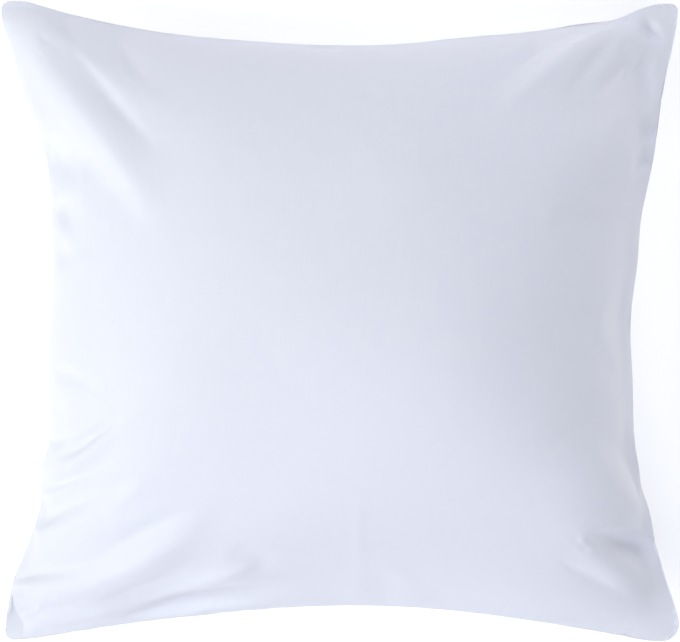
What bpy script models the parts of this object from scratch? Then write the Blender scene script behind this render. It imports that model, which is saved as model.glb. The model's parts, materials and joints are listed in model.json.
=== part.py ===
"""A square pillowcase drawn tight over its filling, lying on its back.

The front and back panels meet in one knife-edge seam, which is drawn in between four rounded
corners. The front is a full crown, with the folds that the corners and the gathered side seams
pull into it. The back is pressed flat where it rests. Units are metres and +Z is up; the origin
is on the resting surface, under the middle of the outline.
"""

from typing import NamedTuple

import bmesh
import bpy
import numpy as np

MM = 0.001

# Outline, corner to corner
WIDTH = 0.440
HEIGHT = 0.4154

# Seam above the resting surface, at the middle of each side
SEAM_HEIGHT = 0.066

# Filled depth at the middle of the front and back panels, from the seam
FRONT_CROWN = 0.082
BACK_CROWN = 0.084

# 0.5 makes each panel's section an ellipse; less is fuller beside the seam
EDGE_FULLNESS = 0.49

# How much flatter the filling leaves the corners
CORNER_SLACK = 0.16

# How softly the back lifts away from the resting surface
CONTACT_ROUND = 0.006

# Folds come up to their full height over this much of the crown beside the seam
SEAM_FADE = 0.007

# Grid steps across a panel; the plain back takes every second grid line
PANEL_STEPS = 64
BACK_STRIDE = 2

# Steps along the bent line of a fold
FOLD_STEPS = 24

COTTON_WHITE = (0.83, 0.85, 0.90, 1.0)
COTTON_ROUGHNESS = 0.9


class Station(NamedTuple):
    """How far a side is drawn in at one place along it."""
    along_mm: float
    draw_in_mm: float


class Corner(NamedTuple):
    """A turned corner of the cover, and how far it droops below the sides."""
    radius_mm: float
    drop_mm: float


class Fold(NamedTuple):
    """A soft ridge, or a trough where its height is negative, along a bent line in plan."""
    name: str
    start_mm: tuple
    bend_mm: tuple
    end_mm: tuple
    half_width_mm: float
    height_mm: float
    fullest_at: float


# Left and right sides, from the top corner down
LEFT_SIDE = (
    Station(0, 0.0),
    Station(13, 0.6),
    Station(26, 5.2),
    Station(65, 16.8),
    Station(91, 26.6),
    Station(110, 30.6),
    Station(155, 33.6),
    Station(181, 34.2),
    Station(233, 31.8),
    Station(285, 31.8),
    Station(304, 26.8),
    Station(325, 25.7),
    Station(349, 18.8),
    Station(375, 8.0),
    Station(397, 3.4),
    Station(415.4, 1.4),
)
RIGHT_SIDE = (
    Station(0, -0.4),
    Station(13, 0.8),
    Station(26, 3.2),
    Station(52, 9.2),
    Station(104, 17.2),
    Station(142, 25.0),
    Station(168, 27.2),
    Station(207, 31.7),
    Station(246, 30.4),
    Station(285, 29.0),
    Station(304, 26.3),
    Station(323, 24.6),
    Station(349, 16.3),
    Station(375, 8.6),
    Station(401, 0.3),
    Station(415.4, -0.6),
)

# Top and bottom sides, from the left corner to the right
TOP_SIDE = (
    Station(0, 0.0),
    Station(16, 0.2),
    Station(26, 3.2),
    Station(52, 10.2),
    Station(104, 20.6),
    Station(155, 25.9),
    Station(214, 29.2),
    Station(259, 28.4),
    Station(298, 24.2),
    Station(349, 19.4),
    Station(375, 15.0),
    Station(401, 11.1),
    Station(414, 5.3),
    Station(427, 1.5),
    Station(440, 1.3),
)
BOTTOM_SIDE = (
    Station(0, 0.0),
    Station(13, 0.7),
    Station(52, 7.1),
    Station(104, 14.6),
    Station(155, 20.2),
    Station(207, 23.3),
    Station(246, 23.3),
    Station(298, 19.6),
    Station(349, 12.7),
    Station(401, 3.9),
    Station(420, 0.4),
    Station(440, 0.0),
)

TOP_LEFT = Corner(radius_mm=5.5, drop_mm=6.0)
TOP_RIGHT = Corner(radius_mm=5.0, drop_mm=10.0)
BOTTOM_LEFT = Corner(radius_mm=7.0, drop_mm=9.0)
BOTTOM_RIGHT = Corner(radius_mm=12.0, drop_mm=5.0)

# Name, start, bend and end in plan, half width, height, and where along it each is fullest
FOLDS = (
    Fold("top left ridge", (-205, 193), (-172, 142), (-122, 66), 13, 5.0, 0.35),
    Fold("top left trough", (-200, 190), (-166, 157), (-110, 94), 9, -4.0, 0.45),
    Fold("top left second ridge", (-172, 184), (-136, 147), (-84, 112), 10, 4.0, 0.40),
    Fold("upper left pucker", (-188, 106), (-176, 99), (-158, 93), 5, -1.6, 0.20),
    Fold("middle left pucker", (-186, -32), (-176, -33), (-150, -54), 5, -1.6, 0.20),
    Fold("lower left pucker", (-187, -79), (-176, -78), (-120, -48), 6, -2.0, 0.25),
    Fold("second lower left pucker", (-192, -107), (-180, -106), (-156, -91), 5, -1.8, 0.20),
    Fold("bottom left ridge", (-196, -162), (-146, -160), (-86, -112), 8, 3.0, 0.50),
    Fold("bottom left trough", (-182, -181), (-138, -176), (-84, -132), 8, -3.5, 0.45),
    Fold("bottom left lower ridge", (-164, -192), (-126, -179), (-74, -160), 7, 2.0, 0.50),
    Fold("bottom left lower trough", (-152, -196), (-110, -184), (-44, -157), 7, -2.5, 0.45),
    Fold("bottom middle trough", (-66, -184), (-34, -178), (-4, -163), 7, -1.6, 0.45),
    Fold("top right ridge", (110, 138), (146, 180), (198, 197), 11, 4.0, 0.55),
    Fold("top right pleat", (193, 203), (202, 191), (212, 176), 5, -1.6, 0.50),
    Fold("bottom right pinch", (162, -139), (176, -144), (203, -149), 6, -4.0, 0.35),
    Fold("bottom right ridge", (160, -124), (180, -131), (203, -143), 7, 3.0, 0.45),
    Fold("bottom right corner ridge", (136, -126), (172, -162), (204, -190), 9, 4.0, 0.55),
)


def clear_scene():
    """Take out whatever the scene holds."""
    for thing in list(bpy.data.objects):
        bpy.data.objects.remove(thing, do_unlink=True)


def eased(share):
    """Share from 0 to 1 with a level start and end."""
    return share * share * (3.0 - 2.0 * share)


def drawn_in(side, share):
    """Draw-in of a side at each share of its length, as a smooth curve through its stations."""
    along = np.array([station.along_mm for station in side]) * MM
    draw = np.array([station.draw_in_mm for station in side]) * MM
    slope = np.gradient(draw, along)
    place = share * along[-1]
    first = np.clip(np.searchsorted(along, place, side="right") - 1, 0, len(along) - 2)
    step = along[first + 1] - along[first]
    part = (place - along[first]) / step
    level = draw[first] + (draw[first + 1] - draw[first]) * eased(part)
    leaving = slope[first] * part * (1.0 - part) ** 2
    arriving = slope[first + 1] * part ** 2 * (part - 1.0)
    return level + step * (leaving + arriving)


def round_corners(u, v):
    """Bend the ends of the grid's lines onto a quarter circle at each corner."""
    round_u = u.copy()
    round_v = v.copy()
    for right, up, corner in ((-1, 1, TOP_LEFT), (1, 1, TOP_RIGHT),
                              (-1, -1, BOTTOM_LEFT), (1, -1, BOTTOM_RIGHT)):
        reach_u = 2.0 * corner.radius_mm * MM / WIDTH
        reach_v = 2.0 * corner.radius_mm * MM / HEIGHT
        across = np.clip((right * u - 1.0) / reach_u + 1.0, 0.0, 1.0)
        along = np.clip((up * v - 1.0) / reach_v + 1.0, 0.0, 1.0)
        round_u -= right * reach_u * across * (1.0 - np.sqrt(1.0 - along ** 2 / 2.0))
        round_v -= up * reach_v * along * (1.0 - np.sqrt(1.0 - across ** 2 / 2.0))
    return round_u, round_v


def plan_position(u, v):
    """Plan position of the grid place (u, v), each from -1 at the left or bottom to 1."""
    u, v = round_corners(u, v)
    from_left = (1.0 + u) / 2.0
    from_bottom = (1.0 + v) / 2.0
    left = drawn_in(LEFT_SIDE, 1.0 - from_bottom) - WIDTH / 2.0
    right = WIDTH / 2.0 - drawn_in(RIGHT_SIDE, 1.0 - from_bottom)
    bottom = drawn_in(BOTTOM_SIDE, from_left) - HEIGHT / 2.0
    top = HEIGHT / 2.0 - drawn_in(TOP_SIDE, from_left)
    return left + (right - left) * from_left, bottom + (top - bottom) * from_bottom


def seam_height(u, v):
    """Height of the seam's level at a grid place: lower towards each corner by its droop."""
    from_left = (1.0 + u) / 2.0
    from_bottom = (1.0 + v) / 2.0
    bottom_drop = BOTTOM_LEFT.drop_mm + (BOTTOM_RIGHT.drop_mm - BOTTOM_LEFT.drop_mm) * from_left
    top_drop = TOP_LEFT.drop_mm + (TOP_RIGHT.drop_mm - TOP_LEFT.drop_mm) * from_left
    drop = (bottom_drop + (top_drop - bottom_drop) * from_bottom) * MM
    return SEAM_HEIGHT - drop * (u * v) ** 2


def fullness(u, v):
    """Share of the crown at a grid place: 0 on the seam, 1 in the middle."""
    power = EDGE_FULLNESS + CORNER_SLACK * (u * v) ** 2
    return ((1.0 - u * u) * (1.0 - v * v)) ** power


def bent_line(fold):
    """Plan points along a fold, on a curve from its start towards its bend and to its end."""
    start, bend, end = (np.array(place) * MM for place in (fold.start_mm, fold.bend_mm, fold.end_mm))
    t = np.linspace(0.0, 1.0, FOLD_STEPS + 1)[:, None]
    return start * (1.0 - t) ** 2 + bend * 2.0 * t * (1.0 - t) + end * t ** 2


def fold_height(fold, x, y):
    """Height of one fold at plan positions x, y: it swells along its line and is soft across it."""
    line = bent_line(fold)
    gap = np.full(x.shape, np.inf)
    share = np.zeros(x.shape)
    for step, (here, there) in enumerate(zip(line, line[1:])):
        run = there - here
        part = np.clip(((x - here[0]) * run[0] + (y - here[1]) * run[1]) / (run @ run), 0.0, 1.0)
        step_gap = np.hypot(x - here[0] - part * run[0], y - here[1] - part * run[1])
        share = np.where(step_gap < gap, (step + part) / FOLD_STEPS, share)
        gap = np.minimum(gap, step_gap)
    swell = np.minimum(share / fold.fullest_at, (1.0 - share) / (1.0 - fold.fullest_at))
    across = np.exp(-(gap / (fold.half_width_mm * MM)) ** 2)
    return fold.height_mm * MM * eased(swell) * across


def outward(points):
    """Unit normals of a grid of points, facing up out of the panel."""
    normal = np.cross(np.gradient(points, axis=0), np.gradient(points, axis=1))
    return normal / np.linalg.norm(normal, axis=2, keepdims=True)


def panel_grid():
    """Grid places that are evenly spaced along the panel's curved section."""
    line = np.sin(np.linspace(-np.pi / 2.0, np.pi / 2.0, PANEL_STEPS + 1))
    return np.meshgrid(line, line, indexing="ij")


def front_points():
    """Points of the front panel: the crown with its folds."""
    u, v = panel_grid()
    x, y = plan_position(u, v)
    crown = FRONT_CROWN * fullness(u, v)
    points = np.stack((x, y, seam_height(u, v) + crown), axis=2)
    folds = sum(fold_height(fold, x, y) for fold in FOLDS)
    folds = folds * (1.0 - np.exp(-(crown / SEAM_FADE) ** 2))
    inside = (slice(1, -1), slice(1, -1))
    points[inside] += (outward(points) * folds[:, :, None])[inside]
    return points


def back_points():
    """Points of the back panel, exactly flat where it rests on the surface."""
    u, v = panel_grid()
    x, y = plan_position(u, v)
    share = fullness(u, v)
    hanging = np.maximum(seam_height(u, v) - BACK_CROWN * share, 0.0)
    lift = np.where(hanging > 0.0, hanging / (hanging + CONTACT_ROUND * share), 0.0)
    return np.stack((x, y, hanging * lift), axis=2)


def on_seam(place):
    """Whether a place in the grid is on the seam."""
    return place[0] in (0, PANEL_STEPS) or place[1] in (0, PANEL_STEPS)


def on_back(place):
    """Whether the back panel has a point at a place in the grid."""
    return on_seam(place) or (place[0] % BACK_STRIDE == 0 and place[1] % BACK_STRIDE == 0)


def back_cell(left, bottom):
    """Places round one cell of the back panel, with each seam point that it touches."""
    right = left + BACK_STRIDE
    top = bottom + BACK_STRIDE
    ring = [(i, bottom) for i in range(left, right)]
    ring += [(right, j) for j in range(bottom, top)]
    ring += [(i, top) for i in range(right, left, -1)]
    ring += [(left, j) for j in range(top, bottom, -1)]
    return [place for place in ring if on_back(place)]


def build_mesh():
    """Front and back panels as one closed surface that shares its seam points."""
    front = front_points()
    back = back_points()
    outline_middle = (front.min(axis=(0, 1)) + front.max(axis=(0, 1))) / 2.0
    offset = np.array((outline_middle[0], outline_middle[1], 0.0))
    panels = bmesh.new()
    front_vertices = {}
    back_vertices = {}
    for place in np.ndindex(front.shape[:2]):
        front_vertices[place] = panels.verts.new(front[place] - offset)
        if on_seam(place):
            back_vertices[place] = front_vertices[place]
        elif on_back(place):
            back_vertices[place] = panels.verts.new(back[place] - offset)
    for i, j in np.ndindex(PANEL_STEPS, PANEL_STEPS):
        cell = ((i, j), (i + 1, j), (i + 1, j + 1), (i, j + 1))
        panels.faces.new([front_vertices[place] for place in cell])
    for left in range(0, PANEL_STEPS, BACK_STRIDE):
        for bottom in range(0, PANEL_STEPS, BACK_STRIDE):
            cell = reversed(back_cell(left, bottom))
            panels.faces.new([back_vertices[place] for place in cell])
    bmesh.ops.triangulate(panels, faces=panels.faces[:])
    mesh = bpy.data.meshes.new("pillowcase")
    panels.to_mesh(mesh)
    panels.free()
    mesh.shade_smooth()
    return mesh


def white_cotton():
    """Plain white closely woven cotton."""
    material = bpy.data.materials.new("white_cotton")
    material.use_nodes = True
    shader = material.node_tree.nodes["Principled BSDF"]
    shader.inputs["Base Color"].default_value = COTTON_WHITE
    shader.inputs["Roughness"].default_value = COTTON_ROUGHNESS
    shader.inputs["Metallic"].default_value = 0.0
    return material


def build_pillowcase():
    """The filled pillowcase in its cotton."""
    pillowcase = bpy.data.objects.new("pillowcase", build_mesh())
    pillowcase.data.materials.append(white_cotton())
    bpy.context.scene.collection.objects.link(pillowcase)


clear_scene()
build_pillowcase()
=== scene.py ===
"""A plain white cotton pillowcase, drawn over its filling and lying on its back in soft light.

The cover is two square panels that meet in a knife-edge seam. The seam's line, the crown and the
named folds are worked out on one grid of places that the two panels share. A short cloth
simulation then lets the filled cover settle, and the cloth gets its thread, its sheen and its
faint packing creases.
"""

import json
import logging
import math
from dataclasses import dataclass
from enum import Enum
from functools import cached_property

import bpy
import numpy as np
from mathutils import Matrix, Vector

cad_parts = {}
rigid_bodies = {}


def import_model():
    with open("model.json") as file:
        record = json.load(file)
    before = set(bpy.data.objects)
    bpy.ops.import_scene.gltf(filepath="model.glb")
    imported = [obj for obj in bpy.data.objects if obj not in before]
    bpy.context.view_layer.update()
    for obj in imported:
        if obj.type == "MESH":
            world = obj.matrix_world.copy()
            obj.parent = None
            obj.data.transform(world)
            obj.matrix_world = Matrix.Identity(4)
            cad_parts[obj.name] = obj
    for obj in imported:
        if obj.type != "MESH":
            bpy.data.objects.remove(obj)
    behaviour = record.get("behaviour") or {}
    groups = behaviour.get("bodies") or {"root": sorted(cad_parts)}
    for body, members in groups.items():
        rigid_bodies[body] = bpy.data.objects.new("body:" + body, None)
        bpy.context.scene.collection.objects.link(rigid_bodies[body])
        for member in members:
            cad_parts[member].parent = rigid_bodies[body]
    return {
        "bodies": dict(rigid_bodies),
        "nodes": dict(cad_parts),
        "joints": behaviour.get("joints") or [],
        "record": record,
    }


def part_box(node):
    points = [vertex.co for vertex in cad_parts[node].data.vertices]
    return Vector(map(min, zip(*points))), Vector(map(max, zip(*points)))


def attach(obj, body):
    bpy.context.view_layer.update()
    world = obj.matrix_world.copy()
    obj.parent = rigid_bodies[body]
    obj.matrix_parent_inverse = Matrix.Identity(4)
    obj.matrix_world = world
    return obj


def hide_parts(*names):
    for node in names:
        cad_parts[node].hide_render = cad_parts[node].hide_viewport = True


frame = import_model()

LOG = logging.getLogger("pillowcase")
MM = 0.001
# Keeps a division by a length of nothing in bounds
TINY = 1e-15
NODE = "pillowcase"
# The seam's level above the resting surface, in metres
SEAM_HEIGHT = 0.066


def eased(share: np.ndarray) -> np.ndarray:
    """Give a share from 0 to 1 a level start and end."""
    return share * share * (3.0 - 2.0 * share)


def resampled(values: np.ndarray, count: int) -> np.ndarray:
    """Spread a column of values onto more places along its first axis, on a smooth curve.

    Args:
        values: the known values, evenly spaced along the first axis.
        count: how many evenly spaced places the result has there.

    Returns:
        The values at the new places.
    """
    place = np.linspace(0.0, len(values) - 1.0, count)
    first = np.minimum(place.astype(int), len(values) - 2)
    part = (place - first).reshape((-1,) + (1,) * (values.ndim - 1))
    near = [values[np.clip(first + step, 0, len(values) - 1)] for step in (-1, 0, 1, 2)]
    return near[1] + 0.5 * part * (near[2] - near[0] + part * (
        2.0 * near[0] - 5.0 * near[1] + 4.0 * near[2] - near[3]
        + part * (3.0 * (near[1] - near[2]) + near[3] - near[0])))


def linear_colour(hex_colour: str) -> tuple[float, float, float, float]:
    """Turn an sRGB hex colour into Blender's linear one.

    Args:
        hex_colour: six hex digits after a hash sign.

    Returns:
        Linear red, green, blue and an alpha of 1.
    """
    channels = [int(hex_colour[place:place + 2], 16) / 255.0 for place in (1, 3, 5)]
    linear = [c / 12.92 if c <= 0.04045 else ((c + 0.055) / 1.055) ** 2.4 for c in channels]
    return (linear[0], linear[1], linear[2], 1.0)


class Side(Enum):
    """A side of the cover, as its front is looked at."""
    LEFT = "left"
    RIGHT = "right"
    TOP = "top"
    BOTTOM = "bottom"


class Panel(Enum):
    """One of the two panels, by which way it faces."""
    FRONT = 1.0
    BACK = -1.0


@dataclass(frozen=True)
class Station:
    """How far a side is drawn in at one place along it, in millimetres."""
    along: float
    draw_in: float


@dataclass(frozen=True)
class Corner:
    """A turned corner: its radius, and how far it droops below the sides, in millimetres."""
    radius: float
    drop: float


@dataclass(frozen=True)
class Fold:
    """A ridge, or a trough where its height is negative, along a bent line in plan.

    Places, half width and height are in millimetres from the middle of the outline. A fold that
    leans has a broader flank on the left of its line, or on the right where the lean is negative.
    """
    name: str
    start: tuple[float, float]
    bend: tuple[float, float]
    end: tuple[float, float]
    half_width: float
    height: float
    fullest_at: float
    lean: float = 0.0
    steps: int = 16

    def line(self) -> np.ndarray:
        """Plan points along the fold, in metres."""
        start, bend, end = (np.array(place) * MM for place in (self.start, self.bend, self.end))
        t = np.linspace(0.0, 1.0, self.steps + 1)[:, None]
        return start * (1.0 - t) ** 2 + bend * 2.0 * t * (1.0 - t) + end * t ** 2

    def relief(self, x: np.ndarray, y: np.ndarray) -> np.ndarray:
        """Work out the fold's height.

        Args:
            x: plan positions across, in metres.
            y: plan positions up, in metres.

        Returns:
            The fold's height at each position, in metres.
        """
        line = self.line()
        gap = np.full(x.shape, np.inf)
        share = np.zeros(x.shape)
        hand = np.zeros(x.shape)
        for step, (here, there) in enumerate(zip(line, line[1:])):
            run = there - here
            to_x = x - here[0]
            to_y = y - here[1]
            part = np.clip((to_x * run[0] + to_y * run[1]) / (run @ run), 0.0, 1.0)
            step_gap = np.hypot(to_x - part * run[0], to_y - part * run[1])
            nearer = step_gap < gap
            turn = (run[0] * to_y - run[1] * to_x) / np.hypot(*run)
            share = np.where(nearer, (step + part) / self.steps, share)
            hand = np.where(nearer, turn, hand)
            gap = np.minimum(gap, step_gap)
        swell = np.minimum(share / self.fullest_at, (1.0 - share) / (1.0 - self.fullest_at))
        flank = self.half_width * MM * (1.0 + self.lean * np.tanh(hand / (self.half_width * MM)))
        return self.height * MM * eased(np.clip(swell, 0.0, 1.0)) * np.exp(-(gap / flank) ** 2)


@dataclass(frozen=True)
class Swell:
    """A place where the filling is fuller, or slacker where its height is negative, in mm."""
    name: str
    middle: tuple[float, float]
    radius: float
    height: float

    def relief(self, x: np.ndarray, y: np.ndarray) -> np.ndarray:
        """Work out the swell's height at plan positions, all in metres."""
        gap = np.hypot(x - self.middle[0] * MM, y - self.middle[1] * MM)
        return self.height * MM * np.exp(-(gap / (self.radius * MM)) ** 2)


@dataclass(frozen=True)
class Puckers:
    """Small gathers at uneven places along a seam, in metres."""
    spacing: float = 14.0 * MM
    half_width: float = 2.8 * MM
    reach: float = 6.0 * MM
    depth: float = 0.5 * MM
    # How uneven the gathers are in place, slant, reach and depth
    shifted: float = 0.45
    slant: float = 0.6
    uneven_reach: float = 0.4
    usual_depth: float = 0.7
    uneven_depth: float = 0.8
    seed: int = 11

    def relief(self, number: int, along: np.ndarray, from_seam: np.ndarray,
               length: float) -> np.ndarray:
        """Work out the gathers of one side of a panel.

        Args:
            number: the side's number, which gives it gathers of its own.
            along: how far along the seam each point lies.
            from_seam: how far from the seam it lies, on the cloth.
            length: the seam's length.

        Returns:
            The gathers' height, mostly below the smooth cloth.
        """
        chance = np.random.default_rng((self.seed, number))
        relief = np.zeros(along.shape)
        for place in np.arange(2.0 * self.spacing, length - self.spacing, self.spacing):
            shift, lean, size, depth = chance.uniform(-1.0, 1.0, 4)
            middle = place + self.shifted * shift * self.spacing
            across = along - middle - self.slant * lean * from_seam
            inward = from_seam / (self.reach * (1.0 + self.uneven_reach * size))
            gather = np.exp(-(across / self.half_width) ** 2) * inward * np.exp(1.0 - inward)
            relief -= self.depth * (self.usual_depth + self.uneven_depth * depth) * gather
        return relief


@dataclass(frozen=True)
class Outline:
    """The seam's line in plan: four drawn-in sides between turned corners."""
    width: float
    height: float
    sides: dict[Side, tuple[Station, ...]]
    corners: dict[tuple[int, int], Corner]

    def drawn_in(self, side: Side, share: np.ndarray) -> np.ndarray:
        """Work out how far a side is drawn in.

        Args:
            side: the side.
            share: places along it, from 0 at its first station to 1 at its last.

        Returns:
            The draw-in at each place, in metres, on a smooth curve through the stations.
        """
        along = np.array([station.along for station in self.sides[side]]) * MM
        draw = np.array([station.draw_in for station in self.sides[side]]) * MM
        slope = np.gradient(draw, along)
        place = share * along[-1]
        first = np.clip(np.searchsorted(along, place, side="right") - 1, 0, len(along) - 2)
        step = along[first + 1] - along[first]
        part = (place - along[first]) / step
        level = draw[first] + (draw[first + 1] - draw[first]) * eased(part)
        leaving = slope[first] * part * (1.0 - part) ** 2
        arriving = slope[first + 1] * part ** 2 * (part - 1.0)
        return level + step * (leaving + arriving)

    def round_corners(self, u: np.ndarray, v: np.ndarray) -> tuple[np.ndarray, np.ndarray]:
        """Bend the ends of the grid's lines onto a quarter circle at each corner.

        Args:
            u: grid places across, from -1 to 1.
            v: grid places up, from -1 to 1.

        Returns:
            The bent places across and up.
        """
        round_u = u.copy()
        round_v = v.copy()
        for (right, up), corner in self.corners.items():
            reach_u = 2.0 * corner.radius * MM / self.width
            reach_v = 2.0 * corner.radius * MM / self.height
            across = np.clip((right * u - 1.0) / reach_u + 1.0, 0.0, 1.0)
            along = np.clip((up * v - 1.0) / reach_v + 1.0, 0.0, 1.0)
            round_u -= right * reach_u * across * (1.0 - np.sqrt(1.0 - along ** 2 / 2.0))
            round_v -= up * reach_v * along * (1.0 - np.sqrt(1.0 - across ** 2 / 2.0))
        return round_u, round_v

    def plan(self, u: np.ndarray, v: np.ndarray) -> tuple[np.ndarray, np.ndarray]:
        """Place the grid in plan.

        Args:
            u: grid places across, from -1 at the left to 1.
            v: grid places up, from -1 at the bottom to 1.

        Returns:
            Plan positions x and y, in metres.
        """
        u, v = self.round_corners(u, v)
        from_left = (1.0 + u) / 2.0
        from_bottom = (1.0 + v) / 2.0
        left = self.drawn_in(Side.LEFT, 1.0 - from_bottom) - self.width / 2.0
        right = self.width / 2.0 - self.drawn_in(Side.RIGHT, 1.0 - from_bottom)
        bottom = self.drawn_in(Side.BOTTOM, from_left) - self.height / 2.0
        top = self.height / 2.0 - self.drawn_in(Side.TOP, from_left)
        return left + (right - left) * from_left, bottom + (top - bottom) * from_bottom

    def drop(self, u: np.ndarray, v: np.ndarray) -> np.ndarray:
        """Work out how far the corners pull the seam's level down, in metres."""
        from_left = (1.0 + u) / 2.0
        from_bottom = (1.0 + v) / 2.0
        bottom, top = (self.corners[-1, up].drop * (1.0 - from_left)
                       + self.corners[1, up].drop * from_left for up in (-1, 1))
        return (bottom * (1.0 - from_bottom) + top * from_bottom) * (u * v) ** 2 * MM


OUTLINE_SIDES = {
    # Left and right from the top corner down
    Side.LEFT: (
        Station(0, 0.0),
        Station(13, 0.6),
        Station(26, 5.2),
        Station(65, 16.5),
        Station(91, 26.6),
        Station(110, 30.6),
        Station(155, 33.6),
        Station(181, 34.2),
        Station(233, 31.8),
        Station(285, 31.8),
        Station(304, 26.8),
        Station(325, 25.7),
        Station(349, 18.8),
        Station(375, 8.0),
        Station(397, 3.4),
        Station(415.4, 1.4),
    ),
    Side.RIGHT: (
        Station(0, -0.4),
        Station(13, 0.8),
        Station(26, 3.2),
        Station(52, 9.2),
        Station(104, 17.2),
        Station(142, 25.0),
        Station(168, 27.2),
        Station(207, 31.7),
        Station(246, 30.4),
        Station(285, 29.0),
        Station(304, 26.3),
        Station(323, 24.6),
        Station(349, 16.3),
        Station(375, 8.6),
        Station(401, 0.3),
        Station(415.4, -0.6),
    ),
    # Top and bottom from the left corner to the right
    Side.TOP: (
        Station(0, 0.0),
        Station(16, 0.2),
        Station(26, 3.2),
        Station(52, 10.2),
        Station(104, 20.6),
        Station(155, 25.9),
        Station(214, 29.2),
        Station(259, 28.4),
        Station(298, 24.2),
        Station(349, 19.4),
        Station(375, 15.0),
        Station(401, 11.1),
        Station(414, 5.3),
        Station(427, 1.5),
        Station(440, 1.3),
    ),
    Side.BOTTOM: (
        Station(0, 0.0),
        Station(13, 0.7),
        Station(52, 7.1),
        Station(104, 14.6),
        Station(155, 20.2),
        Station(207, 23.3),
        Station(246, 23.3),
        Station(298, 19.6),
        Station(349, 12.7),
        Station(401, 3.9),
        Station(420, 0.4),
        Station(440, 0.0),
    ),
}

# By right or left (1 or -1) and up or down (1 or -1)
OUTLINE_CORNERS = {
    (-1, 1): Corner(5.5, 6.0),
    (1, 1): Corner(5.0, 10.0),
    (-1, -1): Corner(7.0, 9.0),
    (1, -1): Corner(12.0, 5.0),
}

# The front's folds: name, start, bend, end, half width, height, and where along it each is fullest
FOLDS = (
    Fold("top left ridge", (-214, 192), (-159, 137), (-107, 50), 13, 7.0, 0.60, lean=0.3),
    Fold("top left trough", (-192, 198), (-160, 143), (-89, 95), 11, -6.9, 0.27, lean=0.2),
    Fold("top left second ridge", (-211, 210), (-160, 149), (-93, 127), 12, 7.5, 0.33, lean=-0.3),
    Fold("top left upper trough", (-175, 197), (-135, 177), (-113, 145), 9, -2.3, 0.53, lean=-0.2),
    Fold("top left side ridge", (-210, 183), (-185, 140), (-155, 105), 6, 1.6, 0.77),
    Fold("left pucker, high", (-199, 112), (-182, 104), (-153, 90), 12, -7.5, 0.26),
    Fold("left pucker, upper", (-184, 79), (-174, 67), (-162, 37), 8, -3.7, 0.23, lean=0.4),
    Fold("left pucker, small", (-185, 41), (-172, 45), (-162, 38), 9, -2.8, 0.30, lean=0.1),
    Fold("left pucker, middle", (-185, -33), (-165, -30), (-137, -55), 4, -3.2, 0.18, lean=-0.6),
    Fold("left pucker, short", (-190, -79), (-174, -76), (-160, -63), 3, -2.5, 0.22),
    Fold("left pucker, lower", (-183, -88), (-156, -74), (-118, -50), 4, -4.8, 0.30, lean=-0.5),
    Fold("left ridge, lower", (-184, -98), (-152, -74), (-113, -46), 4.5, 3.5, 0.45, lean=-0.3),
    Fold("left pucker, low", (-196, -108), (-174, -104), (-138, -83), 4.5, -5.0, 0.22, lean=0.3),
    Fold("left pucker, lowest", (-201, -132), (-182, -120), (-140, -94), 8, -6.7, 0.27, lean=0.1),
    Fold("bottom left high trough", (-171, -156), (-131, -137), (-86, -112), 6, -1.9, 0.56, lean=0.1),
    Fold("bottom left trough", (-216, -162), (-174, -168), (-115, -132), 12, -7.5, 0.17, lean=0.6),
    Fold("bottom left ridge", (-205, -183), (-123, -173), (-56, -96), 11, 7.5, 0.35, lean=-0.2),
    Fold("bottom left low trough", (-190, -188), (-108, -172), (-43, -143), 9, -9.5, 0.36, lean=0.6),
    Fold("bottom left low ridge", (-206, -205), (-96, -156), (-29, -159), 5, 4.0, 0.33, lean=0.1),
    Fold("bottom left edge trough", (-160, -192), (-86, -176), (20, -166), 6.5, -8.0, 0.42, lean=0.3),
    Fold("bottom left corner trough", (-215, -168), (-213, -196), (-202, -207), 8, -4.4, 0.48, lean=0.6),
    Fold("top right ridge", (86, 110), (137, 177), (211, 195), 10, 7.5, 0.54, lean=-0.4),
    Fold("top right trough", (97, 144), (127, 188), (189, 189), 6, -2.9, 0.32),
    Fold("top right low trough", (137, 110), (164, 151), (210, 172), 20, -7.0, 0.72, lean=-0.1),
    Fold("top right pleat", (195, 201), (201, 191), (210, 177), 5.5, -4.5, 0.50, lean=-0.1),
    Fold("right pucker, high", (206, 130), (200, 123), (187, 106), 6, -3.0, 0.47, lean=-0.4),
    Fold("right pucker, upper", (204, 107), (196, 103), (177, 90), 6, -3.0, 0.33, lean=-0.3),
    Fold("bottom right upper ridge", (132, -66), (164, -114), (208, -148), 22, 13.0, 0.60, lean=-0.40),
    Fold("bottom right pinch", (150, -132), (178, -143), (212, -150), 8, -9.0, 0.50, lean=-0.50),
    Fold("bottom right long ridge", (152, -128), (172, -158), (216, -184), 11, 7.0, 0.45, lean=-0.20),
    Fold("right side trough", (176, 140), (170, 10), (184, -76), 13, -2.5, 0.50),
    Fold("bottom side trough", (-90, -168), (20, -156), (120, -174), 10, -2.5, 0.50),
    Fold("packing crease, lower", (11, -90), (12, -137), (13, -178), 2.5, 0.4, 0.50),
    Fold("packing crease, right", (87, 17), (134, 14), (180, 9), 2.2, 0.6, 0.50),
)

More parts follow.
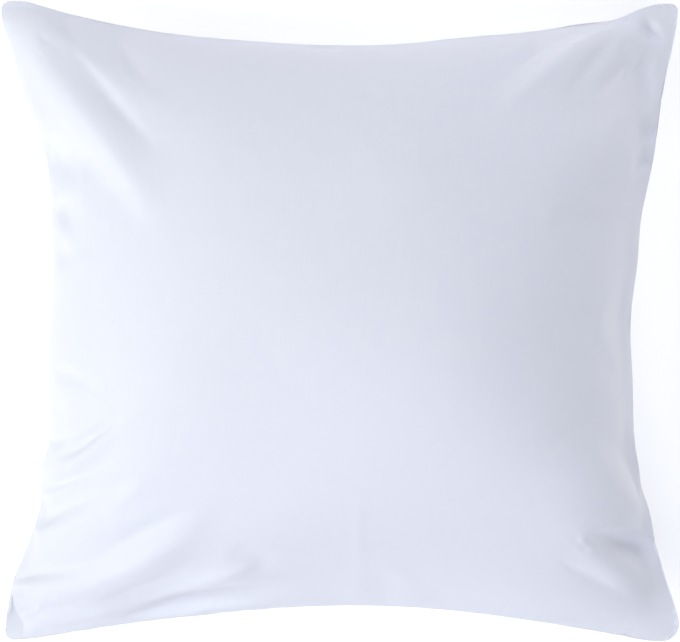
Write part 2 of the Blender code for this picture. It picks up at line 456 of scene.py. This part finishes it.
# The front's swells: name, middle, radius and height
SWELLS = (
    Swell("upper left slack", (-134, 98), 86, -5.0),
    Swell("left slack", (-137, -6), 78, -1.4),
    Swell("lower left slack", (-143, -123), 63, -5.0),
    Swell("upper left fullness", (-97, 132), 44, 5.0),
    Swell("middle slack", (-48, -40), 40, -3.3),
    Swell("lower middle slack", (-38, -113), 81, -5.0),
    Swell("upper middle fullness", (41, 94), 35, 3.5),
    Swell("middle fullness", (73, -3), 47, 3.5),
    Swell("bottom slack", (50, -142), 90, -5.0),
    Swell("upper right fullness", (114, 110), 63, 2.7),
    Swell("right fullness", (168, -8), 90, 5.0),
    Swell("lower right fullness", (148, -77), 74, 7.0),
    Swell("lower right shoulder", (150, -78), 36, 6.0),
    Swell("bottom right corner fullness", (176, -140), 50, 10.0),
    Swell("bottom right slack", (98, -150), 87, -2.0),
)

# The back's folds, in the same terms and seen through the front
BACK_FOLDS = (
    Fold("back top left ridge", (-205, 190), (-165, 150), (-105, 90), 12, 4.0, 0.40),
    Fold("back top right ridge", (205, 190), (160, 155), (100, 80), 11, 4.0, 0.40),
    Fold("back bottom left ridge", (-205, -188), (-150, -160), (-90, -95), 11, 4.0, 0.40),
    Fold("back bottom right ridge", (205, -185), (160, -140), (105, -85), 12, 4.5, 0.45),
    Fold("back top trough", (-185, 190), (-140, 165), (-80, 130), 9, -3.0, 0.45),
    Fold("back bottom trough", (190, -190), (140, -170), (80, -130), 9, -3.0, 0.45),
)

# How far in from each seam the cover is empty and lies level, in millimetres
MARGINS = {
    Side.LEFT: 0.0,
    Side.RIGHT: 15.0,
    Side.TOP: 5.0,
    Side.BOTTOM: 12.0,
}


@dataclass(frozen=True)
class Filling:
    """How the filling pushes the two panels out from the seam, in metres."""
    seam_height: float
    front_crown: float
    back_crown: float = 0.084
    edge_fullness: float = 0.49
    corner_slack: float = 0.16
    contact_round: float = 0.006
    margin_turn: float = 0.4

    def reached(self, place: np.ndarray, half: float, before: Side, after: Side) -> np.ndarray:
        """Draw the filled part of the panel in from the seams by their empty margins.

        Args:
            place: grid places from -1 to 1.
            half: half the panel's size in that direction, in metres.
            before: the side at -1.
            after: the side at 1.

        Returns:
            Places from -1 to 1 that stay close to the ends all over an empty margin.
        """
        margin = np.where(place < 0.0, MARGINS[before], MARGINS[after]) * MM
        turn = self.margin_turn * margin

        def inside(from_seam: np.ndarray | float) -> np.ndarray:
            """How far past the margin a place is, with a rounded start."""
            past = from_seam - margin
            return 0.5 * (past + np.sqrt(past ** 2 + turn ** 2))

        start = inside(0.0)
        share = (inside((1.0 - np.abs(place)) * half) - start) / (inside(half) - start)
        return np.sign(place) * (1.0 - share)

    def fullness(self, u: np.ndarray, v: np.ndarray) -> np.ndarray:
        """Give the share of the crown at a filled place: 0 on the seam, 1 in the middle."""
        power = self.edge_fullness + self.corner_slack * (u * v) ** 2
        return ((1.0 - u * u) * (1.0 - v * v)) ** power

    def heights(self, panel: Panel, level: np.ndarray, share: np.ndarray) -> np.ndarray:
        """Work out a panel's heights.

        Args:
            panel: the panel.
            level: the seam's level at each grid place.
            share: the share of the crown there.

        Returns:
            Heights above the resting surface, in metres; the back is flat where it rests.
        """
        if panel is Panel.FRONT:
            return level + self.front_crown * share
        hanging = np.maximum(level - self.back_crown * share, 0.0)
        lift = hanging / (hanging + self.contact_round * share + TINY)
        return hanging * np.where(hanging > 0.0, lift, 0.0)


@dataclass(frozen=True)
class Seam:
    """The turned seam: a fine groove between the rolled edges of the two panels, in metres."""
    groove: float = 0.7 * MM
    lip: float = 1.5 * MM
    corner_blend: float = 2.5 * MM
    fold_fade: float = 4.0 * MM
    # How far the front stays off the back where a deep fold runs up to the seam, and how fast
    # the two part from it, in metres a metre
    least_apart: float = 0.4 * MM
    parting: float = 0.15


@dataclass(frozen=True)
class PanelGrid:
    """The grid of places that both panels share, closest where a panel bends most.

    The grid runs from -1 to 1 across and up. Sizes are those of the flat cloth, in metres.
    """
    steps: int = 280
    edge_density: float = 0.35
    width: float = 0.440
    height: float = 0.428

    @cached_property
    def places(self) -> tuple[np.ndarray, np.ndarray]:
        """Grid places across and up."""
        even = np.linspace(-1.0, 1.0, self.steps + 1)
        turn = even + self.edge_density * np.sin(2.0 * np.pi * even) / (2.0 * np.pi)
        line = np.sin(turn * np.pi / 2.0)
        return np.meshgrid(line, line, indexing="ij")

    @cached_property
    def cloth(self) -> tuple[np.ndarray, np.ndarray]:
        """Where the grid places lie on the flat cloth, from its left and bottom edges."""
        across, up = (0.5 + np.arcsin(np.clip(line, -1.0, 1.0)) / np.pi for line in self.places)
        return across * self.width, up * self.height

    def beside(self, side: Side) -> tuple[np.ndarray, np.ndarray]:
        """Measure the cloth from one side's seam.

        Args:
            side: the side.

        Returns:
            How far each place is from the seam, and how far it is along the seam, in metres.
        """
        across, up = self.cloth
        return {
            Side.LEFT: (across, up),
            Side.RIGHT: (self.width - across, up),
            Side.TOP: (self.height - up, across),
            Side.BOTTOM: (up, across),
        }[side]

    @cached_property
    def from_seam(self) -> np.ndarray:
        """How far each place is from the nearest seam, in metres."""
        return np.min([self.beside(side)[0] for side in Side], axis=0)


def stitched(name: str, front: np.ndarray, back: np.ndarray,
             back_stride: int) -> tuple[bpy.types.Mesh, np.ndarray, np.ndarray]:
    """Join the two panels along their seam into one closed mesh.

    Args:
        name: the mesh's name.
        front: the front panel's points, by grid row and column.
        back: the back panel's points.
        back_stride: how many grid lines one face of the back spans.

    Returns:
        The mesh, and the vertex number at each grid place of the front and of the back. The
        back's number is -1 where it has no point.
    """
    last = len(front) - 1
    i, j = np.indices(front.shape[:2])
    on_seam = (i % last == 0) | (j % last == 0)
    on_back = ~on_seam & (i % back_stride == 0) & (j % back_stride == 0)
    front_number = i * (last + 1) + j
    back_number = np.where(on_seam, front_number, -1)
    back_number[on_back] = front_number.size + np.arange(on_back.sum())
    faces = np.stack((front_number[:-1, :-1], front_number[1:, :-1], front_number[1:, 1:],
                      front_number[:-1, 1:]), axis=2).reshape(-1, 4).tolist()
    for left in range(0, last, back_stride):
        for bottom in range(0, last, back_stride):
            right = left + back_stride
            top = bottom + back_stride
            ring = [(left, place) for place in range(bottom, top)]
            ring += [(place, top) for place in range(left, right)]
            ring += [(right, place) for place in range(top, bottom, -1)]
            ring += [(place, bottom) for place in range(right, left, -1)]
            numbers = [int(back_number[place]) for place in ring]
            faces.append([number for number in numbers if number >= 0])
    mesh = bpy.data.meshes.new(name)
    points = np.concatenate((front.reshape(-1, 3), back[on_back]))
    mesh.from_pydata(points.tolist(), [], faces)
    mesh.shade_smooth()
    return mesh, front_number, back_number


@dataclass(frozen=True)
class Settling:
    """A short cloth simulation in which the filling presses both panels into balance.

    It runs on a coarser copy of the two panels. The seam is held, and how far the cloth moves
    is then carried over to the fine panels.
    """
    stride: int = 4
    pressure: float = 4.0
    frames: int = 20
    quality: int = 6
    tension: float = 15.0
    bending: float = 0.5
    furthest: float = 5.0 * MM

    def moves(self, front: np.ndarray, back: np.ndarray) -> tuple[np.ndarray, np.ndarray]:
        """Work out how far the cloth settles.

        Args:
            front: the front panel's points, by grid row and column.
            back: the back panel's points.

        Returns:
            The front's and the back's moves, in metres, for every grid place.
        """
        coarse = [panel[::self.stride, ::self.stride] for panel in (front, back)]
        mesh, front_number, back_number = stitched("settling", *coarse, 1)
        settled = self.simulate(mesh, np.intersect1d(front_number, back_number))
        result = []
        for before, number in zip(coarse, (front_number, back_number)):
            move = settled[number] - before
            length = np.linalg.norm(move, axis=2, keepdims=True)
            move *= self.furthest * np.tanh(length / self.furthest) / np.maximum(length, TINY)
            across = resampled(move, front.shape[0])
            result.append(resampled(across.swapaxes(0, 1), front.shape[1]).swapaxes(0, 1))
        LOG.info("settled by up to %.1f mm", max(np.abs(move).max() for move in result) / MM)
        return result[0], result[1]

    def simulate(self, mesh: bpy.types.Mesh, seam: np.ndarray) -> np.ndarray:
        """Run the simulation.

        Args:
            mesh: the coarse cover; it is removed afterwards.
            seam: the vertex numbers along the seam, which are held.

        Returns:
            Where the vertices come to rest, in metres.
        """
        scene = bpy.context.scene
        pad = bpy.data.objects.new("settling", mesh)
        scene.collection.objects.link(pad)
        pad.vertex_groups.new(name="seam").add(seam.tolist(), 1.0, "REPLACE")
        cloth = pad.modifiers.new("cloth", "CLOTH")
        cloth.point_cache.frame_end = self.frames
        cloth.settings.vertex_group_mass = "seam"
        cloth.settings.quality = self.quality
        cloth.settings.tension_stiffness = self.tension
        cloth.settings.compression_stiffness = self.tension
        cloth.settings.bending_stiffness = self.bending
        cloth.settings.use_pressure = True
        cloth.settings.uniform_pressure_force = self.pressure
        cloth.settings.effector_weights.gravity = 0.0
        for frame in range(1, self.frames + 1):
            scene.frame_set(frame)
        rested = pad.evaluated_get(bpy.context.evaluated_depsgraph_get()).to_mesh()
        places = np.empty(len(rested.vertices) * 3)
        rested.vertices.foreach_get("co", places)
        bpy.data.objects.remove(pad)
        bpy.data.meshes.remove(mesh)
        scene.frame_set(1)
        return places.reshape(-1, 3)


@dataclass
class Cover:
    """The pillowcase itself: both panels, their folds and their seam, as one closed mesh."""
    outline: Outline
    filling: Filling
    seam: Seam = Seam()
    puckers: Puckers = Puckers()
    settling: Settling = Settling()
    grid: PanelGrid = PanelGrid()
    back_stride: int = 2

    def points(self, panel: Panel) -> np.ndarray:
        """Work out a panel's points before it settles.

        Args:
            panel: the panel.

        Returns:
            An array of grid rows, grid columns and x, y, z in metres.
        """
        u, v = self.grid.places
        x, y = self.outline.plan(u, v)
        level = self.filling.seam_height - self.outline.drop(u, v)
        filled = self.filling.fullness(
            self.filling.reached(u, self.outline.width / 2.0, Side.LEFT, Side.RIGHT),
            self.filling.reached(v, self.outline.height / 2.0, Side.BOTTOM, Side.TOP))
        z = self.filling.heights(panel, level, filled)
        points = np.stack((x, y, z), axis=2)
        relief = self.relief(panel, x, y, filled)[:, :, None] * panel.value
        points[1:-1, 1:-1] += (self.upward(points) * relief)[1:-1, 1:-1]
        return points

    def relief(self, panel: Panel, x: np.ndarray, y: np.ndarray,
               filled: np.ndarray) -> np.ndarray:
        """Add up a panel's folds, swells and puckers.

        Args:
            panel: the panel.
            x: plan positions across, in metres.
            y: plan positions up, in metres.
            filled: the share of the crown at each place, which the swells go with.

        Returns:
            The relief out from the smooth panel, in metres. It fades out at the seam.
        """
        front = panel is Panel.FRONT
        relief = sum(fold.relief(x, y) for fold in (FOLDS if front else BACK_FOLDS))
        relief += sum(swell.relief(x, y) for swell in SWELLS) * filled * front
        for number, side in enumerate(Side, start=0 if front else len(Side)):
            from_seam, along = self.grid.beside(side)
            length = self.grid.height if side in (Side.LEFT, Side.RIGHT) else self.grid.width
            relief += self.puckers.relief(number, along, from_seam, length)
        return relief * (1.0 - np.exp(-(self.grid.from_seam / self.seam.fold_fade) ** 2))

    def upward(self, points: np.ndarray) -> np.ndarray:
        """Unit normals of a grid of points, on the side that faces up."""
        normal = np.cross(np.gradient(points, axis=0), np.gradient(points, axis=1))
        return normal / np.maximum(np.linalg.norm(normal, axis=2, keepdims=True), TINY)

    def seam_roll(self) -> np.ndarray:
        """Draw the seam into a fine groove.

        Returns:
            How far each grid point moves, in metres.
        """
        u, v = self.grid.places
        x, y = self.outline.plan(u, v)
        out = np.zeros(x.shape + (2,))
        pairs = ((0, u, (Side.LEFT, Side.RIGHT)), (1, v, (Side.BOTTOM, Side.TOP)))
        for axis, line, sides in pairs:
            along = np.stack((np.gradient(x, axis=axis), np.gradient(y, axis=axis)), axis=2)
            along /= np.maximum(np.linalg.norm(along, axis=2, keepdims=True), TINY)
            nearest = np.minimum(*(self.grid.beside(side)[0] for side in sides))
            pull = np.sign(line) * np.exp(-nearest / self.seam.corner_blend)
            out += pull[:, :, None] * along
        out /= np.maximum(np.linalg.norm(out, axis=2, keepdims=True), TINY)
        depth = self.seam.groove * np.exp(-(self.grid.from_seam / self.seam.lip) ** 2)
        return np.concatenate((-out * depth[:, :, None], np.zeros(x.shape + (1,))), axis=2)

    def build(self) -> bpy.types.Object:
        """Settle the panels, join them and mark where each point lies on the flat cloth.

        Returns:
            The cover as a new object in the scene.
        """
        front = self.points(Panel.FRONT)
        back = self.points(Panel.BACK)
        front_move, back_move = self.settling.moves(front, back)
        front += front_move
        back += back_move
        back[:, :, 2] = np.maximum(back[:, :, 2], 0.0)
        apart = np.minimum(self.seam.least_apart, self.grid.from_seam * self.seam.parting)
        front[:, :, 2] = np.maximum(front[:, :, 2], back[:, :, 2] + apart)
        roll = self.seam_roll()
        mesh, _, back_number = stitched("pillowcase_cover", front + roll, back + roll,
                                        self.back_stride)
        cloth = np.stack(self.grid.cloth + (np.zeros(front.shape[:2]),), axis=2)
        own_back = back_number >= front.shape[0] * front.shape[1]
        cloth_all = np.concatenate((cloth.reshape(-1, 3), cloth[own_back]))
        thread = mesh.attributes.new("cloth_place", "FLOAT_VECTOR", "POINT")
        thread.data.foreach_set("vector", cloth_all.astype(np.float32).ravel())
        cover = bpy.data.objects.new("pillowcase_cover", mesh)
        bpy.context.scene.collection.objects.link(cover)
        LOG.info("cover: %d faces", len(mesh.polygons))
        return cover


def add_node(tree: bpy.types.NodeTree, kind: str, settings: dict[str | int, object],
             links: dict[str | int, bpy.types.NodeSocket] | None = None) -> bpy.types.Node:
    """Add a shader node with its settings and links.

    Args:
        tree: the material's or world's node tree.
        kind: the node's type name, without the ShaderNode prefix.
        settings: its properties, then the values of its unlinked inputs, by name or number.
        links: the output socket that feeds each linked input, by the input's name or number.

    Returns:
        The new node.
    """
    node = tree.nodes.new("ShaderNode" + kind)
    for name, value in settings.items():
        if isinstance(name, int) or name in node.inputs:
            node.inputs[name].default_value = value
        else:
            setattr(node, name, value)
    for name, source in (links or {}).items():
        tree.links.new(source, node.inputs[name])
    return node


@dataclass(frozen=True)
class Sateen:
    """White cotton sateen: bleached thread in a close satin weave, calendered smooth.

    Its long warp floats lie almost flat, so that the cloth looks smooth and faintly silky and
    shows its thread only from close by. Lengths are in metres.
    """
    colour: str = "#F2F4F9"
    # Darker where the thread is thin, its own tone, and in the crumple's hollows, painted shade
    thread_tone_and_shade_colour: str = "#F0F2F8"
    roughness: tuple[float, float] = (0.44, 0.54)
    ior: float = 1.5
    sheen: float = 0.12
    sheen_roughness: float = 0.4
    # The real thread is 0.17 mm apart; drawn a little coarser, so that a close view can show it
    thread_pitch: float = 0.25 * MM
    thread_height: float = 0.006 * MM
    # One weft thread crosses over every fifth warp thread, two threads along each time
    float_threads: int = 5
    float_step: int = 2
    # Thicker stretches of thread, which give the surface its faint streaks
    slub_width: float = 0.9 * MM
    slub_length: float = 22.0 * MM
    slub_height: float = 0.006 * MM
    slub_detail: float = 2.0
    slub_range: tuple[float, float] = (0.3, 0.7)
    # Soft unevenness left by washing and packing, darker in its hollows by painted shade
    crumple_size: float = 11.0 * MM
    crumple_height: float = 0.08 * MM
    crumple_detail: float = 3.0
    # How far the thread's tone and the painted shade of the crumples reach into the colour
    thread_tone_and_shade_range: tuple[float, float] = (0.12, 0.38)

    def material(self) -> bpy.types.Material:
        """Build the material.

        Returns:
            The finished material, laid out by where each point lies on the flat cloth.
        """
        material = bpy.data.materials.new("woven_cotton_sateen")
        material.use_nodes = True
        tree = material.node_tree
        shader = tree.nodes["Principled BSDF"]
        cloth = add_node(tree, "Attribute", {"attribute_name": "cloth_place"}).outputs["Vector"]
        slub = self.noise(tree, cloth, (self.slub_width, self.slub_length), self.slub_detail)
        crumple = self.noise(tree, cloth, (self.crumple_size, self.crumple_size),
                             self.crumple_detail)
        # The colour darkens with thin thread, its own tone, and in the crumple's hollows, as painted
        # shade
        thread_tone_and_shade = add_node(tree, "Math", {"operation": "MULTIPLY"}, {0: slub, 1: crumple})
        colour = add_node(tree, "MixRGB", {"Color1": linear_colour(self.thread_tone_and_shade_colour),
                                           "Color2": linear_colour(self.colour)},
                          {"Fac": self.spread(tree, thread_tone_and_shade.outputs[0], self.thread_tone_and_shade_range, (0.0, 1.0))})
        gloss = self.spread(tree, slub, self.slub_range, self.roughness)
        normal = self.bump(tree, crumple, self.crumple_height, None)
        normal = self.bump(tree, slub, self.slub_height, normal)
        normal = self.bump(tree, self.weave(tree, cloth), self.thread_height, normal)
        tree.links.new(colour.outputs["Color"], shader.inputs["Base Color"])
        tree.links.new(gloss, shader.inputs["Roughness"])
        tree.links.new(normal, shader.inputs["Normal"])
        shader.inputs["IOR"].default_value = self.ior
        shader.inputs["Sheen Weight"].default_value = self.sheen
        shader.inputs["Sheen Roughness"].default_value = self.sheen_roughness
        LOG.info("material %s", material.name)
        return material

    def noise(self, tree: bpy.types.NodeTree, cloth: bpy.types.NodeSocket,
              size: tuple[float, float], detail: float) -> bpy.types.NodeSocket:
        """Draw uneven patches of a given size on the cloth.

        Args:
            tree: the material's node tree.
            cloth: places on the flat cloth.
            size: how large the patches are across the warp and along it.
            detail: how many finer layers are laid over them.

        Returns:
            The noise, from 0 to 1.
        """
        stretched = add_node(tree, "Mapping", {"Scale": (1.0 / size[0], 1.0 / size[1], 1.0)},
                             {"Vector": cloth})
        return add_node(tree, "TexNoise", {"Scale": 1.0, "Detail": detail},
                        {"Vector": stretched.outputs["Vector"]}).outputs["Fac"]

    def spread(self, tree: bpy.types.NodeTree, value: bpy.types.NodeSocket,
               known: tuple[float, float], wanted: tuple[float, float]) -> bpy.types.NodeSocket:
        """Map a value's usual range onto the one that is wanted."""
        return add_node(tree, "MapRange", {"From Min": known[0], "From Max": known[1],
                                           "To Min": wanted[0], "To Max": wanted[1]},
                        {"Value": value}).outputs["Result"]

    def wave(self, tree: bpy.types.NodeTree, cloth: bpy.types.NodeSocket,
             turns: tuple[float, float]) -> bpy.types.NodeSocket:
        """Draw an even wave over the cloth.

        Args:
            tree: the material's node tree.
            cloth: places on the flat cloth.
            turns: how many times a metre the wave repeats across and up.

        Returns:
            The wave, from -1 to 1.
        """
        angle = add_node(tree, "VectorMath", {"operation": "DOT_PRODUCT",
                                              1: (math.tau * turns[0], math.tau * turns[1], 0.0)},
                         {0: cloth})
        return add_node(tree, "Math", {"operation": "COSINE"},
                        {0: angle.outputs["Value"]}).outputs[0]

    def weave(self, tree: bpy.types.NodeTree, cloth: bpy.types.NodeSocket) -> bpy.types.NodeSocket:
        """Draw the satin weave: rounded warp threads, each tied down once in every float.

        Args:
            tree: the material's node tree.
            cloth: places on the flat cloth.

        Returns:
            The height of the threads, about -1 to 2.
        """
        per_metre = 1.0 / self.thread_pitch
        warp = self.wave(tree, cloth, (per_metre, 0.0))
        ties = self.wave(tree, cloth, (self.float_step * per_metre / self.float_threads,
                                       per_metre / self.float_threads))
        return add_node(tree, "Math", {"operation": "MAXIMUM"}, {0: warp, 1: ties}).outputs[0]

    def bump(self, tree: bpy.types.NodeTree, height: bpy.types.NodeSocket, distance: float,
             normal: bpy.types.NodeSocket | None) -> bpy.types.NodeSocket:
        """Raise the surface by a pattern.

        Args:
            tree: the material's node tree.
            height: the pattern.
            distance: how high a value of 1 stands.
            normal: the surface normal that it is added to, if there is one.

        Returns:
            The new surface normal.
        """
        below = {"Normal": normal} if normal else {}
        return add_node(tree, "Bump", {"Strength": 1.0, "Distance": distance},
                        {"Height": height} | below).outputs["Normal"]


@dataclass(frozen=True)
class Softbox:
    """A soft light by where it stands, seen from the middle of the pillow."""
    name: str
    azimuth: float
    elevation: float
    distance: float
    size: tuple[float, float]
    power: float
    colour: str

    def build(self, aim: Vector) -> None:
        """Set the light up, pointed at a place.

        Args:
            aim: the place, in metres.
        """
        turn = math.radians(self.azimuth)
        rise = math.radians(self.elevation)
        toward = Vector((math.cos(turn) * math.cos(rise), math.sin(turn) * math.cos(rise),
                         math.sin(rise)))
        light = bpy.data.lights.new(self.name, "AREA")
        light.shape = "RECTANGLE"
        light.size, light.size_y = self.size
        light.energy = self.power
        light.color = linear_colour(self.colour)[:3]
        lamp = bpy.data.objects.new(self.name, light)
        lamp.location = aim + toward * self.distance
        lamp.rotation_euler = (-toward).to_track_quat("-Z", "Y").to_euler()
        bpy.context.scene.collection.objects.link(lamp)
        LOG.info("light %s", self.name)


@dataclass(frozen=True)
class Studio:
    """A pale floor, soft lights and a camera that looks straight down on the pillow's face."""
    floor_size: float = 12.0
    floor_colour: str = "#F7F7F7"
    floor_roughness: float = 0.9
    surroundings: str = "#FFFFFF"
    surroundings_strength: float = 0.26
    floor_glow: float = 0.34
    camera_distance: float = 1.5
    sensor: float = 36.0
    softboxes: tuple[Softbox, ...] = (
        Softbox("left_key", 180.0, 40.0, 2.0, (1.5, 1.5), 21.2, "#FAFCFF"),
        Softbox("lower_fill", 270.0, 58.0, 2.0, (1.2, 1.2), 16.6, "#E5EAFF"),
        Softbox("right_strip", 45.0, 9.0, 1.6, (1.2, 0.4), 5.3, "#F6F4FF"),
        Softbox("upper_strip", 80.0, 9.0, 1.6, (1.2, 0.4), 2.5, "#D2D6FF"),
    )

    def build(self, middle: Vector, width: float) -> None:
        """Set up the floor, the surroundings, the lights and the camera.

        Args:
            middle: the middle of the outline at the seam's level, in metres.
            width: how much of the scene the picture shows across, in metres.
        """
        self.floor()
        self.world()
        for softbox in self.softboxes:
            softbox.build(middle)
        self.camera(middle, width)

    def floor(self) -> None:
        """Lay the plain pale floor."""
        half = self.floor_size / 2.0
        corners = [(-half, -half, 0.0), (half, -half, 0.0), (half, half, 0.0), (-half, half, 0.0)]
        mesh = bpy.data.meshes.new("floor")
        mesh.from_pydata(corners, [], [(0, 1, 2, 3)])
        material = bpy.data.materials.new("pale_floor")
        material.use_nodes = True
        shader = material.node_tree.nodes["Principled BSDF"]
        shader.inputs["Base Color"].default_value = linear_colour(self.floor_colour)
        shader.inputs["Roughness"].default_value = self.floor_roughness
        shader.inputs["Emission Color"].default_value = (1.0, 1.0, 1.0, 1.0)
        shader.inputs["Emission Strength"].default_value = self.floor_glow
        mesh.materials.append(material)
        floor = bpy.data.objects.new("floor", mesh)
        bpy.context.scene.collection.objects.link(floor)

    def world(self) -> None:
        """Surround the set with plain white."""
        world = bpy.data.worlds.new("white_surroundings")
        world.use_nodes = True
        background = world.node_tree.nodes["Background"]
        background.inputs["Color"].default_value = linear_colour(self.surroundings)
        background.inputs["Strength"].default_value = self.surroundings_strength
        bpy.context.scene.world = world

    def camera(self, middle: Vector, width: float) -> None:
        """Hang the camera over the pillow.

        Args:
            middle: what it looks at, in metres.
            width: how much it sees across at that distance, in metres.
        """
        data = bpy.data.cameras.new("camera")
        data.sensor_width = self.sensor
        data.lens = self.sensor * self.camera_distance / width
        camera = bpy.data.objects.new("camera", data)
        camera.location = middle + Vector((0.0, 0.0, self.camera_distance))
        bpy.context.scene.collection.objects.link(camera)
        bpy.context.scene.camera = camera


def main() -> None:
    """Build the pillowcase and its studio."""
    logging.basicConfig(level=logging.INFO, format="%(name)s: %(message)s")
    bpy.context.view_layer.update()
    low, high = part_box(NODE)
    outline = Outline(high[0] - low[0], high[1] - low[1], OUTLINE_SIDES, OUTLINE_CORNERS)
    filling = Filling(SEAM_HEIGHT, high[2] - SEAM_HEIGHT)
    cover = Cover(outline, filling).build()
    cover.data.materials.append(Sateen().material())
    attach(cover, "root")
    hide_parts(NODE)
    bpy.context.scene.view_settings.view_transform = "Standard"
    middle = Vector(((low[0] + high[0]) / 2.0, (low[1] + high[1]) / 2.0, SEAM_HEIGHT))
    Studio().build(middle, high[0] - low[0])


if __name__ == "__main__":
    main()
